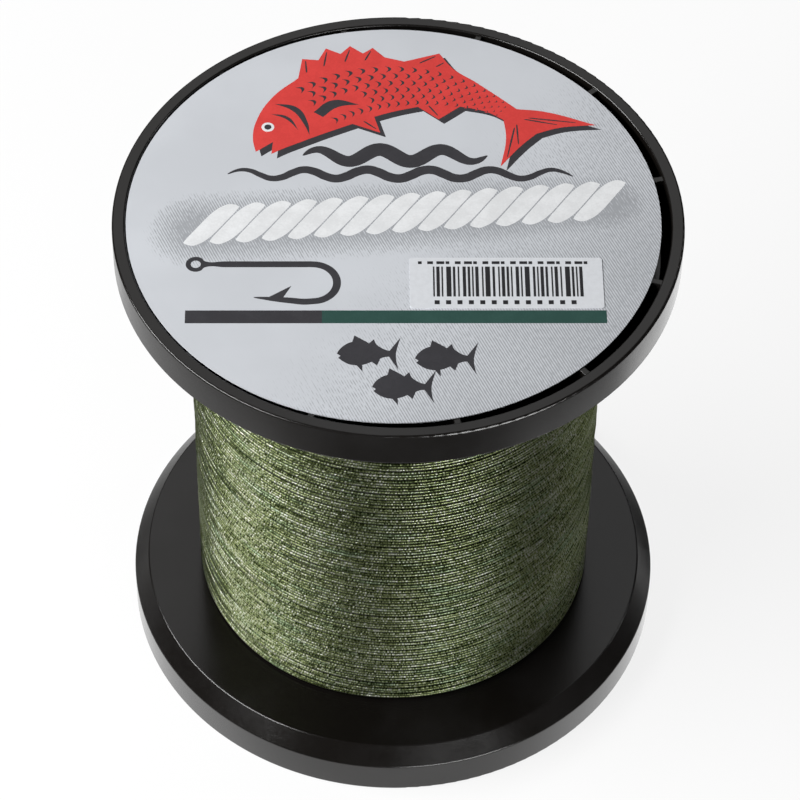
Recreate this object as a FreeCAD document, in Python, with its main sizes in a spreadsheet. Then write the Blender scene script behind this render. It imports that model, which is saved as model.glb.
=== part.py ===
import FreeCAD, Part
import math
import os

import Sketcher

# Bulk fishing line spool, standing on its lower flange.
# The origin is the centre of the base, on the spool's axis, and +Z runs up that axis.
# The label reads upright when it is seen from -Y, so +X is to the reader's right.
# All sizes are in millimetres, and angles are in degrees.

# Driving dimensions: alias, value, meaning
SIZES = [
    ("flange_diameter", 110.0, "outside of both flanges"),
    ("traverse_width", 91.3, "room for line between the inner faces of the flanges"),
    ("rim_height", 7.5, "straight side wall of a flange"),
    ("rim_width", 2.5, "flat ring round the recess on the outer face"),
    ("bevel_drop", 3.6, "axial fall of the bevel on the winding side"),
    ("bevel_width", 3.05, "radial width of the bevel"),
    ("web_thickness", 2.2, "plate between the recess and the winding"),
    ("rim_round", 0.4, "rounding of the rim's edges"),
    ("rib_count", 12, "ribs in the recess"),
    ("rib_thickness", 1.2, "a rib at its free edge"),
    ("rib_draft", 1.0, "mould draft on a rib's sides"),
    ("rib_setback", 0.45, "free edge of the ribs below the rim's face"),
    ("rib_phase", 18.5, "first rib's angle from +X, seen from the recess"),
    ("rib_root", 0.3, "how far a rib runs into the hub and the rim"),
    ("bore_diameter", 16.5, "spindle bore, for a 16 mm spindle"),
    ("bore_chamfer", 0.6, "lead-in at the mouth of the bore"),
    ("hub_wall", 3.0, "wall round the spindle bore"),
    ("hub_reach", 12.0, "hub beyond the flange's inner face"),
    ("spigot_length", 8.0, "ring that enters the barrel"),
    ("spigot_wall", 2.4, "wall of that ring"),
    ("spigot_lead", 0.8, "chamfer at the ring's end"),
    ("spigot_clearance", 0.1, "radial gap between the ring and the barrel"),
    ("barrel_diameter", 74.0, "outside of the barrel"),
    ("barrel_wall", 2.4, "wall of the barrel"),
    ("barrel_lead", 0.5, "chamfer inside both ends of the barrel"),
    ("pack_depth", 1.55, "wound line under the outer layer"),
    ("pack_clearance", 0.1, "gap between the wound line and a flange"),
    ("turn_diameter", 2.4, "thickness of a turn in the outer layer"),
    ("turn_count", 24, "turns in the outer layer"),
    ("turn_clearance", 0.05, "gap between the outer layer and the line under it"),
    ("label_thickness", 0.25, "card of the label"),
    ("label_gap_near", 0.2, "label to rim on the side that it is pushed to"),
    ("label_gap_far", 2.0, "label to rim on the other side"),
    ("sticker_length", 36.6, "code sticker along the label's lines"),
    ("sticker_width", 12.8, "code sticker across them"),
    ("sticker_thickness", 0.12, "paper of the sticker"),
    ("sticker_drop", 10.6, "label's centre line to the sticker's upper edge"),
    ("sticker_edge_gap", 5.5, "sticker's outer corner to the label's edge"),
    ("sticker_corner", 0.6, "corner radius of the sticker"),
]

# Formulas that several pieces share
RIM_RADIUS = "Sizes.flange_diameter / 2"
RECESS_RADIUS = "(Sizes.flange_diameter / 2 - Sizes.rim_width)"
FLANGE_DEPTH = "(Sizes.rim_height + Sizes.bevel_drop)"
RECESS_FLOOR = "(Sizes.rim_height + Sizes.bevel_drop - Sizes.web_thickness)"
BEVEL_LENGTH = "sqrt(Sizes.bevel_drop ^ 2 + Sizes.bevel_width ^ 2)"
BORE_RADIUS = "Sizes.bore_diameter / 2"
HUB_RADIUS = "(Sizes.bore_diameter / 2 + Sizes.hub_wall)"
HUB_END = "Sizes.rim_height + Sizes.bevel_drop + Sizes.hub_reach"
BARREL_RADIUS = "Sizes.barrel_diameter / 2"
BARREL_INSIDE = "(Sizes.barrel_diameter / 2 - Sizes.barrel_wall)"
SPIGOT_RADIUS = "(Sizes.barrel_diameter / 2 - Sizes.barrel_wall - Sizes.spigot_clearance)"
SPIGOT_END = "Sizes.rim_height + Sizes.bevel_drop + Sizes.spigot_length"
PACK_RADIUS = "(Sizes.barrel_diameter / 2 + Sizes.pack_depth)"
SPOOL_HEIGHT = "(2 * (Sizes.rim_height + Sizes.bevel_drop) + Sizes.traverse_width)"
LABEL_RADIUS = f"({RECESS_RADIUS} - (Sizes.label_gap_near + Sizes.label_gap_far) / 2)"
LABEL_SHIFT = "(Sizes.label_gap_near - Sizes.label_gap_far) / 2"
LABEL_BASE = f"{SPOOL_HEIGHT} - Sizes.rib_setback"

# The recess's corner runs parallel to the bevel, one web thickness inside it
CORNER_RUN = (
    f"(Sizes.rim_width * {BEVEL_LENGTH} - Sizes.web_thickness * Sizes.bevel_drop)"
    " / Sizes.bevel_width"
)
CORNER_START = (
    f"Sizes.rim_height - Sizes.web_thickness * Sizes.bevel_width / {BEVEL_LENGTH}"
    f" + {CORNER_RUN} * Sizes.bevel_drop / {BEVEL_LENGTH}"
)
CORNER_END = (
    f"Sizes.flange_diameter / 2 - Sizes.bevel_width - Sizes.web_thickness"
    f" * ({BEVEL_LENGTH} - Sizes.bevel_width) / Sizes.bevel_drop"
)

# Sizes of the sampling that measures the gap between turns
POINTS_PER_TURN = 24
ARCS_PER_TURN = 4
VOLUME_TOLERANCE = 0.01


def make_sheet(document):
    """Write the driving dimensions into a spreadsheet, one alias for each."""
    sheet = document.addObject("Spreadsheet::Sheet", "Sizes")
    for row, (alias, value, meaning) in enumerate(SIZES, start=1):
        sheet.set(f"A{row}", meaning)
        sheet.set(f"B{row}", str(value))
        sheet.setAlias(f"B{row}", alias)
    document.recompute()
    return sheet


def tie(item, formulas):
    """Bind properties of an object to formulas over the sheet."""
    for name, formula in formulas.items():
        item.setExpression(name, formula)


def make_body(document, label):
    """Start a body whose label is the sub-part's name."""
    body = document.addObject("PartDesign::Body", label)
    body.Label = label
    return body


def plane_of(body, role):
    """One of the body's own origin planes."""
    return next(item for item in body.Origin.OriginFeatures if item.Role == role)


def axis_of(body, role):
    """One of the body's own origin axes."""
    return next(item for item in body.Origin.OriginFeatures if item.Role == role)


def make_sketch(body, name, role):
    """Start a sketch on one of the body's origin planes."""
    sketch = body.newObject("Sketcher::SketchObject", name)
    sketch.AttachmentSupport = (plane_of(body, role), [""])
    sketch.MapMode = "FlatFace"
    return sketch


def draw_outline(sketch, corners):
    """Draw a closed outline: each corner is a pair of formulas, across and up."""
    count = len(corners)
    start_radius = 20.0
    spots = []
    for index in range(count):
        angle = 2 * math.pi * index / count
        across = start_radius * (2 + math.cos(angle))
        up = start_radius * (2 + math.sin(angle))
        spots.append(FreeCAD.Vector(across, up, 0))
    for index in range(count):
        sketch.addGeometry(Part.LineSegment(spots[index], spots[(index + 1) % count]))
    for index in range(count):
        following = (index + 1) % count
        sketch.addConstraint(Sketcher.Constraint("Coincident", index, 2, following, 1))
    for index, (across, up) in enumerate(corners):
        place_corner(sketch, index, "DistanceX", across, spots[index].x)
        place_corner(sketch, index, "DistanceY", up, spots[index].y)


def place_corner(sketch, line, direction, formula, start):
    """Fix the start of a line at a formula's distance from the sketch's origin."""
    if formula == "0":
        axis = -1 if direction == "DistanceY" else -2
        sketch.addConstraint(Sketcher.Constraint("PointOnObject", line, 1, axis))
        return
    number = sketch.addConstraint(Sketcher.Constraint(direction, -1, 1, line, 1, start))
    name = f"{direction}_{line}"
    sketch.renameConstraint(number, name)
    sketch.setExpression(f"Constraints.{name}", formula)


def draw_circle(sketch, radius):
    """Draw a circle about the sketch's origin, its radius bound to a formula."""
    start_radius = 20.0
    circle = Part.Circle(FreeCAD.Vector(0, 0, 0), FreeCAD.Vector(0, 0, 1), start_radius)
    number = sketch.addGeometry(circle)
    sketch.addConstraint(Sketcher.Constraint("Coincident", number, 3, -1, 1))
    size = sketch.addConstraint(Sketcher.Constraint("Radius", number, start_radius))
    name = f"radius_{number}"
    sketch.renameConstraint(size, name)
    sketch.setExpression(f"Constraints.{name}", radius)


def revolve(body, name, corners):
    """Turn an outline of radius and height formulas about the body's Z axis."""
    sketch = make_sketch(body, f"{name}Outline", "XZ_Plane")
    draw_outline(sketch, corners)
    turned = body.newObject("PartDesign::Revolution", name)
    turned.Profile = sketch
    turned.ReferenceAxis = (sketch, ["V_Axis"])
    turned.Angle = 360.0
    return turned


def ring_edges(shape, radius, height):
    """Names of the round edges of one radius at one height."""
    near = 1e-4
    names = []
    for number, edge in enumerate(shape.Edges, start=1):
        if not isinstance(edge.Curve, Part.Circle):
            continue
        same_radius = abs(edge.Curve.Radius - radius) < near
        same_height = abs(edge.Curve.Center.z - height) < near
        if same_radius and same_height:
            names.append(f"Edge{number}")
    return names


def make_flange(document, sheet, label):
    """One flange moulding, its rim's face at z = 0 and its winding side towards +Z."""
    body = make_body(document, label)
    moulding = revolve(body, f"{label}_moulding", [
        (RECESS_RADIUS, "0"),
        (RIM_RADIUS, "0"),
        (RIM_RADIUS, "Sizes.rim_height"),
        (f"{RIM_RADIUS} - Sizes.bevel_width", FLANGE_DEPTH),
        (SPIGOT_RADIUS, FLANGE_DEPTH),
        (SPIGOT_RADIUS, f"{SPIGOT_END} - Sizes.spigot_lead"),
        (f"{SPIGOT_RADIUS} - Sizes.spigot_lead", SPIGOT_END),
        (f"{SPIGOT_RADIUS} - Sizes.spigot_wall", SPIGOT_END),
        (f"{SPIGOT_RADIUS} - Sizes.spigot_wall", FLANGE_DEPTH),
        (HUB_RADIUS, FLANGE_DEPTH),
        (HUB_RADIUS, HUB_END),
        (BORE_RADIUS, HUB_END),
        (BORE_RADIUS, "Sizes.rib_setback + Sizes.bore_chamfer"),
        (f"{BORE_RADIUS} + Sizes.bore_chamfer", "Sizes.rib_setback"),
        (HUB_RADIUS, "Sizes.rib_setback"),
        (HUB_RADIUS, RECESS_FLOOR),
        (CORNER_END, RECESS_FLOOR),
        (RECESS_RADIUS, CORNER_START),
    ])
    document.recompute()

    # The rim's edges and the line between flat and bevel are rounded
    rim_radius = sheet.flange_diameter / 2
    flange_depth = sheet.rim_height + sheet.bevel_drop
    edges = (
        ring_edges(moulding.Shape, rim_radius, 0)
        + ring_edges(moulding.Shape, rim_radius - sheet.rim_width, 0)
        + ring_edges(moulding.Shape, rim_radius, sheet.rim_height)
        + ring_edges(moulding.Shape, rim_radius - sheet.bevel_width, flange_depth)
    )
    rounding = body.newObject("PartDesign::Fillet", f"{label}_rounding")
    rounding.Base = (moulding, edges)
    tie(rounding, {"Radius": "Sizes.rim_round"})

    # One rib from hub to rim, thicker towards its root, then all of them
    sketch = make_sketch(body, f"{label}_rib_outline", "XY_Plane")
    inner = f"({HUB_RADIUS} - Sizes.rib_root)"
    outer = f"({RECESS_RADIUS} + Sizes.rib_root)"
    draw_outline(sketch, [
        (inner, "-Sizes.rib_thickness / 2"),
        (outer, "-Sizes.rib_thickness / 2"),
        (outer, "Sizes.rib_thickness / 2"),
        (inner, "Sizes.rib_thickness / 2"),
    ])
    tie(sketch, {
        "AttachmentOffset.Base.z": "Sizes.rib_setback",
        "AttachmentOffset.Rotation.Angle": "Sizes.rib_phase",
    })
    rib = body.newObject("PartDesign::Pad", f"{label}_rib")
    rib.Profile = sketch
    tie(rib, {
        "Length": f"{RECESS_FLOOR} - Sizes.rib_setback",
        "TaperAngle": "Sizes.rib_draft",
    })
    ribs = body.newObject("PartDesign::PolarPattern", f"{label}_ribs")
    ribs.Originals = [rib]
    ribs.Axis = (axis_of(body, "Z_Axis"), [""])
    ribs.Angle = 360.0
    tie(ribs, {"Occurrences": "Sizes.rib_count"})
    body.Tip = ribs
    return body


def make_bottom_flange(document, sheet):
    """The flange that the spool stands on."""
    return make_flange(document, sheet, "bottom_flange")


def make_top_flange(document, sheet):
    """The same moulding turned over, its recess upwards under the label."""
    body = make_flange(document, sheet, "top_flange")
    upside_down = FreeCAD.Rotation(FreeCAD.Vector(1, 0, 0), 180)
    body.Placement = FreeCAD.Placement(FreeCAD.Vector(0, 0, 0), upside_down)
    tie(body, {"Placement.Base.z": SPOOL_HEIGHT})
    return body


def make_barrel(document):
    """The tube between the flanges, seated on their inner faces round the spigots."""
    body = make_body(document, "barrel")
    top = f"{FLANGE_DEPTH} + Sizes.traverse_width"
    revolve(body, "barrel_tube", [
        (f"{BARREL_INSIDE} + Sizes.barrel_lead", FLANGE_DEPTH),
        (BARREL_RADIUS, FLANGE_DEPTH),
        (BARREL_RADIUS, top),
        (f"{BARREL_INSIDE} + Sizes.barrel_lead", top),
        (BARREL_INSIDE, f"{top} - Sizes.barrel_lead"),
        (BARREL_INSIDE, f"{FLANGE_DEPTH} + Sizes.barrel_lead"),
    ])
    return body


def make_line_pack(document):
    """The wound line under its outer layer, as one plain sleeve on the barrel."""
    body = make_body(document, "line_pack")
    sketch = make_sketch(body, "line_pack_outline", "XY_Plane")
    draw_circle(sketch, PACK_RADIUS)
    draw_circle(sketch, BARREL_RADIUS)
    tie(sketch, {"AttachmentOffset.Base.z": f"{FLANGE_DEPTH} + Sizes.pack_clearance"})
    sleeve = body.newObject("PartDesign::Pad", "line_pack_sleeve")
    sleeve.Profile = sketch
    tie(sleeve, {"Length": "Sizes.traverse_width - 2 * Sizes.pack_clearance"})
    return body


class Winding:
    """The helix that the outer layer of line follows, from the back of the spool."""

    def __init__(self, sheet):
        flange_depth = sheet.rim_height + sheet.bevel_drop
        pack_radius = sheet.barrel_diameter / 2 + sheet.pack_depth
        spare = 2 * sheet.pack_clearance + sheet.turn_diameter
        self.thickness = sheet.turn_diameter
        self.turns = int(sheet.turn_count)
        self.radius = pack_radius + sheet.turn_clearance + sheet.turn_diameter / 2
        self.pitch = (sheet.traverse_width - spare) / sheet.turn_count
        self.start_height = flange_depth + spare / 2
        self.start_angle = math.pi / 2

    def point(self, turns):
        """The place on the helix after a number of turns."""
        angle = self.start_angle + 2 * math.pi * turns
        height = self.start_height + self.pitch * turns
        return FreeCAD.Vector(
            self.radius * math.cos(angle), self.radius * math.sin(angle), height
        )

    def direction(self, turns):
        """The way that the line runs there."""
        angle = self.start_angle + 2 * math.pi * turns
        along = FreeCAD.Vector(
            -self.radius * math.sin(angle),
            self.radius * math.cos(angle),
            self.pitch / (2 * math.pi),
        )
        return along.normalize()


def tangent_arc(start, corner, end):
    """The arc from start to end that is tangent to both sides of the corner."""
    middle = (start + end) * 0.5
    half_chord = (end - start).Length / 2
    rise = (corner - middle).Length
    half_angle = math.atan2(rise, half_chord)
    sagitta = half_chord * math.tan(half_angle / 2)
    top = middle + (corner - middle).normalize() * sagitta
    return Part.Arc(start, top, end).toShape()


def biarc(start, start_way, end, end_way):
    """Two arcs that leave start and reach end in the given directions."""
    chord = end - start
    ways = start_way + end_way
    bend = ways.dot(ways) - 4
    slope = -2 * chord.dot(ways)
    reach = (-slope - math.sqrt(slope * slope - 4 * bend * chord.dot(chord))) / (2 * bend)
    first_corner = start + start_way * reach
    second_corner = end - end_way * reach
    joint = (first_corner + second_corner) * 0.5
    return [
        tangent_arc(start, first_corner, joint),
        tangent_arc(joint, second_corner, end),
    ]


def make_line_turns(document, sheet):
    """The outer layer of line: one unbroken tube, wound from flange to flange."""
    winding = Winding(sheet)
    first = winding.point(0)
    first_way = winding.direction(0)
    last = winding.point(winding.turns)
    last_way = winding.direction(winding.turns)
    tail_start = first - first_way * winding.thickness
    tail_end = last + last_way * winding.thickness

    edges = [Part.LineSegment(tail_start, first).toShape()]
    for number in range(winding.turns * ARCS_PER_TURN):
        begin = number / ARCS_PER_TURN
        finish = (number + 1) / ARCS_PER_TURN
        edges += biarc(
            winding.point(begin), winding.direction(begin),
            winding.point(finish), winding.direction(finish),
        )
    edges.append(Part.LineSegment(last, tail_end).toShape())
    path = Part.Wire(edges)
    section = Part.Wire([Part.Circle(tail_start, first_way, winding.thickness / 2).toShape()])
    tube = path.makePipeShell([section], True, False)

    expected = math.pi * winding.thickness ** 2 / 4 * path.Length
    if abs(tube.Volume - expected) > VOLUME_TOLERANCE * expected:
        raise ValueError("the tube of the outer layer has the wrong volume")
    print(f"outer layer: least gap to itself {least_gap(winding):.2f} mm")

    feature = document.addObject("Part::Feature", "line_turns")
    feature.Label = "line_turns"
    feature.Shape = tube
    feature.Placement = FreeCAD.Placement()
    return feature


def least_gap(winding):
    """The smallest gap between points of the tube that are half a turn or more apart."""
    count = winding.turns * POINTS_PER_TURN
    points = [winding.point(number / POINTS_PER_TURN) for number in range(count + 1)]
    least = math.inf
    for number, point in enumerate(points):
        for other in points[number + POINTS_PER_TURN // 2:]:
            least = min(least, point.distanceToPoint(other))
    return least - winding.thickness


def make_label(document):
    """The round card that lies on the ribs inside the rim."""
    body = make_body(document, "top_label")
    sketch = make_sketch(body, "top_label_outline", "XY_Plane")
    draw_circle(sketch, LABEL_RADIUS)
    card = body.newObject("PartDesign::Pad", "top_label_card")
    card.Profile = sketch
    tie(card, {"Length": "Sizes.label_thickness"})
    tie(body, {"Placement.Base.x": LABEL_SHIFT, "Placement.Base.z": LABEL_BASE})
    return body


def make_sticker(document):
    """The code sticker on the label, right of its centre and below it."""
    body = make_body(document, "code_sticker")
    sketch = make_sketch(body, "code_sticker_outline", "XY_Plane")
    bottom = "(Sizes.sticker_drop + Sizes.sticker_width)"
    right = f"sqrt(({LABEL_RADIUS} - Sizes.sticker_edge_gap) ^ 2 - {bottom} ^ 2)"
    draw_outline(sketch, [
        (f"{right} - Sizes.sticker_length", f"-{bottom}"),
        (right, f"-{bottom}"),
        (right, "-Sizes.sticker_drop"),
        (f"{right} - Sizes.sticker_length", "-Sizes.sticker_drop"),
    ])
    paper = body.newObject("PartDesign::Pad", "code_sticker_paper")
    paper.Profile = sketch
    tie(paper, {"Length": "Sizes.sticker_thickness"})
    document.recompute()
    upright = []
    for number, edge in enumerate(paper.Shape.Edges, start=1):
        if abs(edge.tangentAt(edge.FirstParameter).z) > 0.5:
            upright.append(f"Edge{number}")
    corners = body.newObject("PartDesign::Fillet", "code_sticker_corners")
    corners.Base = (paper, upright)
    tie(corners, {"Radius": "Sizes.sticker_corner"})
    tie(body, {
        "Placement.Base.x": LABEL_SHIFT,
        "Placement.Base.z": f"{LABEL_BASE} + Sizes.label_thickness",
    })
    return body


def check(document, pieces):
    """Stop if any object failed or any piece is not one valid solid."""
    for item in document.Objects:
        if "Invalid" in item.State or "Error" in item.State:
            raise ValueError(f"{item.Label} failed to build")
    for piece in pieces:
        shape = piece.Shape
        if shape.isNull() or not shape.isValid() or len(shape.Solids) != 1:
            raise ValueError(f"{piece.Label} is not one valid solid")


def main():
    document = FreeCAD.newDocument("FishingLineSpool")
    sheet = make_sheet(document)
    pieces = [
        make_bottom_flange(document, sheet),
        make_top_flange(document, sheet),
        make_barrel(document),
        make_line_pack(document),
        make_line_turns(document, sheet),
        make_label(document),
        make_sticker(document),
    ]
    document.recompute()
    check(document, pieces)
    os.makedirs("parts", exist_ok=True)
    for piece in pieces:
        piece.Shape.exportStep(os.path.join("parts", piece.Label + ".step"))
        box = piece.Shape.optimalBoundingBox()
        print(
            f"{piece.Label}: {piece.Shape.Volume:.1f} mm3,"
            f" x {box.XMin:.2f} to {box.XMax:.2f},"
            f" y {box.YMin:.2f} to {box.YMax:.2f},"
            f" z {box.ZMin:.2f} to {box.ZMax:.2f}"
        )


main()
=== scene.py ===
"""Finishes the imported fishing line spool: moulded flanges, wound line, printed label and a studio."""

import math

import bpy
import numpy as np
from bpy.props import FloatProperty, FloatVectorProperty, IntProperty, PointerProperty
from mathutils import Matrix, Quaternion, Vector


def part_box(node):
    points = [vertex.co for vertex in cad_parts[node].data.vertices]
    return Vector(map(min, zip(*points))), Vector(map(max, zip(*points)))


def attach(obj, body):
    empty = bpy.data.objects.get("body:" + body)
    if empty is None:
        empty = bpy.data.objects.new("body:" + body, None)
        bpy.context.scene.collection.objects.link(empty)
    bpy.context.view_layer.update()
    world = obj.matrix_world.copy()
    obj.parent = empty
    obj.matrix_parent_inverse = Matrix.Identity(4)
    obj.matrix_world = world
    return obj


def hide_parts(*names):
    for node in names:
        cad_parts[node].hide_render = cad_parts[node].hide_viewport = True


bl_info = {
    "name": "Fishing Line Spool",
    "version": (1, 0, 0),
    "blender": (4, 5, 0),
    "location": "3D View > Sidebar > Spool",
    "description": "Finishes the spool's flanges, wound line, label and sticker, and sets its studio",
    "category": "Object",
}

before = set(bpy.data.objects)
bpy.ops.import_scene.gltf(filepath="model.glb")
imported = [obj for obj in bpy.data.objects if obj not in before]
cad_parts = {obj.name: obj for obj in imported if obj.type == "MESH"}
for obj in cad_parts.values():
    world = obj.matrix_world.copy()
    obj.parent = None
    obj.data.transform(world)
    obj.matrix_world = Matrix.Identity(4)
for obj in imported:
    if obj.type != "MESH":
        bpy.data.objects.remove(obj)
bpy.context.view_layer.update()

BODY = "root"
MM = 0.001
LABEL_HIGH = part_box("top_label")[1]
STICKER_LOW, STICKER_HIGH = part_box("code_sticker")
TURNS_LOW, TURNS_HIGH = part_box("line_turns")
PACK_LOW, PACK_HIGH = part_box("line_pack")
BARREL_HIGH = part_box("barrel")[1]


class MouldedPlastic(bpy.types.PropertyGroup):
    """Finish of the black flanges and of the barrel between them."""

    colour: FloatVectorProperty(
        name="Colour", description="Black of the moulded plastic", subtype="COLOR",
        size=3, min=0, max=1, default=(0.0052, 0.0044, 0.0038),
    )
    worn_colour: FloatVectorProperty(
        name="Worn colour", description="Greyer black of handled patches", subtype="COLOR",
        size=3, min=0, max=1, default=(0.0086, 0.0078, 0.0074),
    )
    polish: FloatProperty(
        name="Polished roughness", description="Roughness of the smoothest patches",
        subtype="FACTOR", min=0, max=1, default=0.15,
    )
    haze: FloatProperty(
        name="Hazy roughness", description="Roughness of the dullest patches",
        subtype="FACTOR", min=0, max=1, default=0.22,
    )
    edge: FloatProperty(
        name="Edge", description="Rounding that the light shows along every edge",
        unit="LENGTH", min=0, max=0.005, default=0.25 * MM, precision=5,
    )
    grain: FloatProperty(
        name="Grain", description="Height of the mould's fine grain",
        unit="LENGTH", min=0, max=0.001, default=0.012 * MM, precision=6,
    )


class WoundLine(bpy.types.PropertyGroup):
    """Sizes and colours of the line wound on the spool."""

    turns: IntProperty(
        name="Turns", description="Turns of the one line in the outer layer",
        min=20, max=400, default=104,
    )
    thickness: FloatProperty(
        name="Thickness", description="Thickness of a turn",
        unit="LENGTH", min=0.0001, max=0.005, default=0.79 * MM, precision=5,
    )
    wander: FloatProperty(
        name="Wander", description="How far a turn strays up or down from its even place",
        unit="LENGTH", min=0, max=0.002, default=0.12 * MM, precision=5,
    )
    sink: FloatProperty(
        name="Sink", description="How deep a turn sinks between those under it",
        unit="LENGTH", min=0, max=0.002, default=0.28 * MM, precision=5,
    )
    braid_pitch: FloatProperty(
        name="Braid pitch", description="Length of one plait of the braid",
        unit="LENGTH", min=0.0001, max=0.01, default=1.277 * MM, precision=6,
    )
    deep_green: FloatVectorProperty(
        name="Deep green", description="Colour of the line's shaded fibres", subtype="COLOR",
        size=3, min=0, max=1, default=(0.015, 0.021, 0.006),
    )
    olive: FloatVectorProperty(
        name="Olive", description="Colour of most of the line", subtype="COLOR",
        size=3, min=0, max=1, default=(0.166, 0.196, 0.084),
    )
    cool_fibre: FloatVectorProperty(
        name="Cool fibre", description="Colour of the bluer stretches", subtype="COLOR",
        size=3, min=0, max=1, default=(0.235, 0.334, 0.202),
    )
    pale_fibre: FloatVectorProperty(
        name="Pale fibre", description="Colour of the brightest fibres", subtype="COLOR",
        size=3, min=0, max=1, default=(0.400, 0.406, 0.376),
    )


class PrintedLabel(bpy.types.PropertyGroup):
    """Card, inks and hatching of the round label, and the paper of the code sticker on it."""

    card: FloatVectorProperty(
        name="Card", description="Silver grey of the label's card", subtype="COLOR",
        size=3, min=0, max=1, default=(0.587, 0.608, 0.642),
    )
    hatch: FloatVectorProperty(
        name="Hatch", description="Grey ink of the fine hatching", subtype="COLOR",
        size=3, min=0, max=1, default=(0.204, 0.212, 0.225),
    )
    red: FloatVectorProperty(
        name="Red", description="Red ink of the leaping fish", subtype="COLOR",
        size=3, min=0, max=1, default=(0.645, 0.053, 0.047),
    )
    charcoal: FloatVectorProperty(
        name="Charcoal", description="Dark grey ink", subtype="COLOR",
        size=3, min=0, max=1, default=(0.040, 0.039, 0.044),
    )
    green: FloatVectorProperty(
        name="Green", description="Ink of the stripe that tells the line's colour",
        subtype="COLOR", size=3, min=0, max=1, default=(0.026, 0.072, 0.060),
    )
    white: FloatVectorProperty(
        name="White", description="White ink of the rope and of the fish's eye", subtype="COLOR",
        size=3, min=0, max=1, default=(0.735, 0.745, 0.755),
    )
    paper: FloatVectorProperty(
        name="Sticker paper", description="White paper of the code sticker", subtype="COLOR",
        size=3, min=0, max=1, default=(0.664, 0.682, 0.712),
    )
    ink_height: FloatProperty(
        name="Ink height", description="Thickness of a printed layer",
        unit="LENGTH", min=0, max=0.0005, default=0.015 * MM, precision=6,
    )
    hatch_pitch: FloatProperty(
        name="Hatch pitch", description="Distance between two lines of the hatching",
        unit="LENGTH", min=0.0001, max=0.005, default=0.50 * MM, precision=5,
    )


class SpoolStudio(bpy.types.PropertyGroup):
    """Floor, lamps and camera round the spool."""

    floor_colour: FloatVectorProperty(
        name="Floor", description="Colour of the floor round the spool's foot", subtype="COLOR",
        size=3, min=0, max=1, default=(0.90, 0.90, 0.90),
    )
    floor_far: FloatVectorProperty(
        name="Floor further out", description="Colour that lights the spool from further out",
        subtype="COLOR", size=3, min=0, max=1, default=(0.07, 0.07, 0.07),
    )
    room_level: FloatProperty(
        name="Room", description="Brightness of the room all round",
        min=0, max=2, default=0.03,
    )
    key_power: FloatProperty(
        name="Key lamp", description="Power of the long lamp high at the left, in watts",
        min=0, max=200, default=19.6,
    )
    front_power: FloatProperty(
        name="Front lamp", description="Power of the low lamp in front at the right, in watts",
        min=0, max=200, default=10.4,
    )
    back_power: FloatProperty(
        name="Back lamp", description="Power of the large lamp high behind, in watts",
        min=0, max=200, default=1.9,
    )
    side_power: FloatProperty(
        name="Side lamp", description="Power of the small lamp high at the right, in watts",
        min=0, max=200, default=0.5,
    )
    lens: FloatProperty(
        name="Lens", description="Focal length of the camera",
        unit="CAMERA", min=10, max=500, default=168.0,
    )


class Finish:
    """One material, with short ways to add nodes to it."""

    def __init__(self, name):
        self.material = bpy.data.materials.new(name)
        self.material.use_nodes = True
        self.tree = self.material.node_tree
        self.tree.nodes.clear()

    def feed(self, socket, value):
        """Links the socket to another, or sets it to a number or a colour."""
        if isinstance(value, bpy.types.NodeSocket):
            self.tree.links.new(value, socket)
        else:
            socket.default_value = value

    def add(self, kind, sockets=(), **settings):
        node = self.tree.nodes.new(kind)
        for name, value in settings.items():
            setattr(node, name, value)
        for key, value in dict(sockets).items():
            self.feed(node.inputs[key], value)
        return node

    def math(self, operation, first, second=0.0, third=0.0):
        node = self.add("ShaderNodeMath", {0: first, 1: second, 2: third}, operation=operation)
        return node.outputs[0]

    def times(self, first, second):
        return self.math("MULTIPLY", first, second)

    def minus(self, first, second):
        return self.math("SUBTRACT", first, second)

    def sway(self, value, weight, middle):
        """The middle moved up and down, by up to half the weight, as value goes from 0 to 1."""
        return self.math("MULTIPLY_ADD", self.minus(value, 0.5), weight, middle)

    def limit(self, value):
        return self.add("ShaderNodeClamp", {0: value}).outputs[0]

    def rise(self, value, start, end):
        """0 where value is start, 1 where it is end, with a smooth step between."""
        node = self.add(
            "ShaderNodeMapRange", {0: value, 1: start, 2: end}, interpolation_type="SMOOTHSTEP",
        )
        return node.outputs[0]

    def between(self, value, start, end):
        """start where value is 0 and end where it is 1."""
        return self.add("ShaderNodeMapRange", {0: value, 3: start, 4: end}).outputs[0]

    def blend(self, share, first, second):
        node = self.add("ShaderNodeMix", {0: share, 6: first, 7: second}, data_type="RGBA")
        return node.outputs[2]

    def place(self):
        return self.add("ShaderNodeTexCoord").outputs["Object"]

    def split(self, vector):
        return self.add("ShaderNodeSeparateXYZ", {0: vector}).outputs

    def join(self, x, y=0.0, z=0.0):
        return self.add("ShaderNodeCombineXYZ", {0: x, 1: y, 2: z}).outputs[0]

    def noise(self, vector, scale, detail, roughness):
        sockets = {"Vector": vector, "Scale": scale, "Detail": detail, "Roughness": roughness}
        return self.add("ShaderNodeTexNoise", sockets).outputs[0]

    def bump(self, height, distance, strength=1.0, normal=None):
        sockets = {"Height": height, "Distance": distance, "Strength": strength}
        if normal is not None:
            sockets["Normal"] = normal
        return self.add("ShaderNodeBump", sockets).outputs[0]

    def output(self, shader):
        self.add("ShaderNodeOutputMaterial", {0: shader.outputs[0]})
        return self.material

    def surface(self, sockets):
        return self.output(self.add("ShaderNodeBsdfPrincipled", sockets))


def opaque(colour, factor=1.0, lift=0.0):
    """The colour with its alpha, made darker or lighter by a factor and a lift."""
    return tuple(min(1.0, channel * factor + lift) for channel in colour[:3]) + (1.0,)


def dress(piece, material):
    """Gives the whole piece one material."""
    piece.data.materials.clear()
    piece.data.materials.append(material)


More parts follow.
